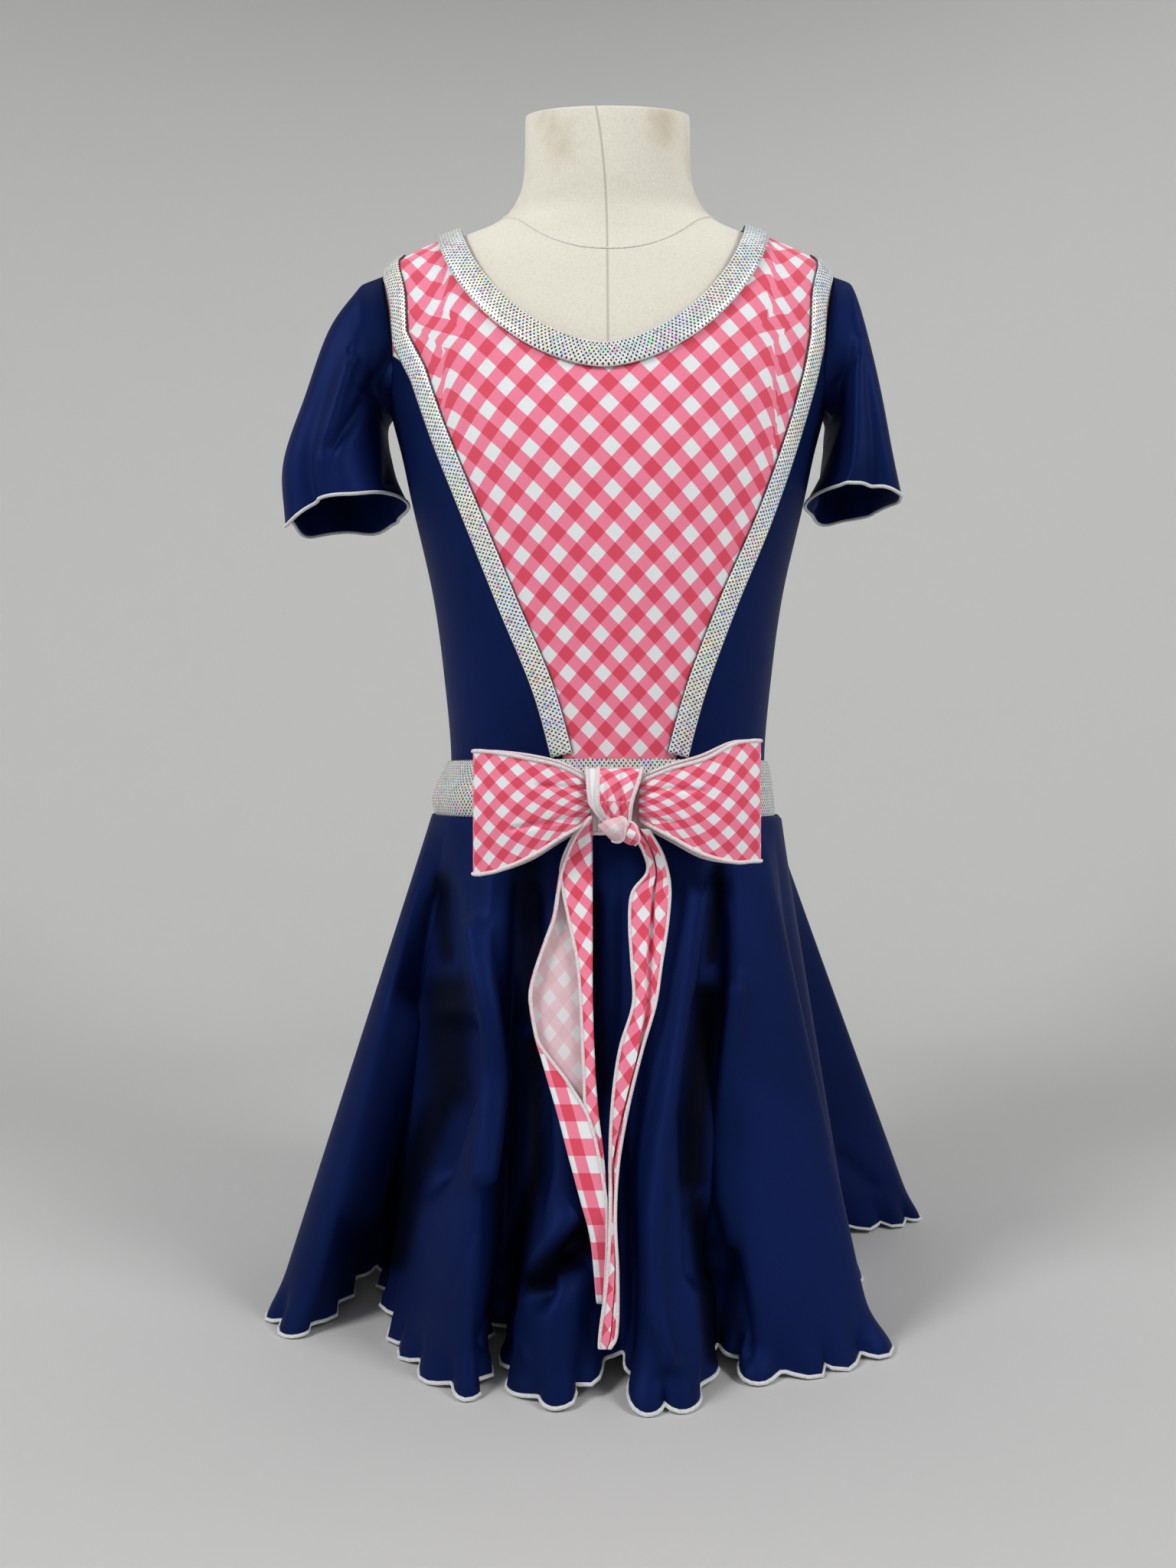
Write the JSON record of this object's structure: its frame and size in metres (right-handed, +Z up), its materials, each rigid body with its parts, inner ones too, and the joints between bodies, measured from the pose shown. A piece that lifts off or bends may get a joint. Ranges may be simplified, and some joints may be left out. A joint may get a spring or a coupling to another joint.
{
  "type": "child's ice skating dress on a limbless dress form",
  "caption": "Short-sleeved ice skating dress with a gingham front, silver bands and belt, fluted skirt and waist bow, shown on a limbless dress form.",
  "frame": {"origin": "centre of the dress form's flat base, on the surface it stands on", "axes": "+Z up the form, -Y the dress's front, +X the viewer's right"},
  "size_m": [0.4105, 0.3596, 0.7313],
  "materials": {
    "cream_knit": "fine matt knit cover",
    "navy_stretch": "stretch jersey with a slight sheen",
    "gingham": "matt check cut on the bias",
    "silver": "dotted metallic stretch cloth"
  },
  "bodies": {
    "root": {"form_body": "cream_knit", "front_panel": "gingham", "side_front_L": "navy_stretch", "side_front_R": "navy_stretch", "back_panel": "navy_stretch", "neck_band": "silver", "trim_L": "silver", "trim_R": "silver", "belt": "silver", "skirt": "navy_stretch", "sleeve_L": "navy_stretch", "sleeve_R": "navy_stretch", "bow_loop_L": "gingham", "bow_loop_R": "gingham", "bow_knot": "gingham", "bow_tie": "gingham", "bow_tail_L": "gingham", "bow_tail_R": "gingham"}
  },
  "joints": []
}
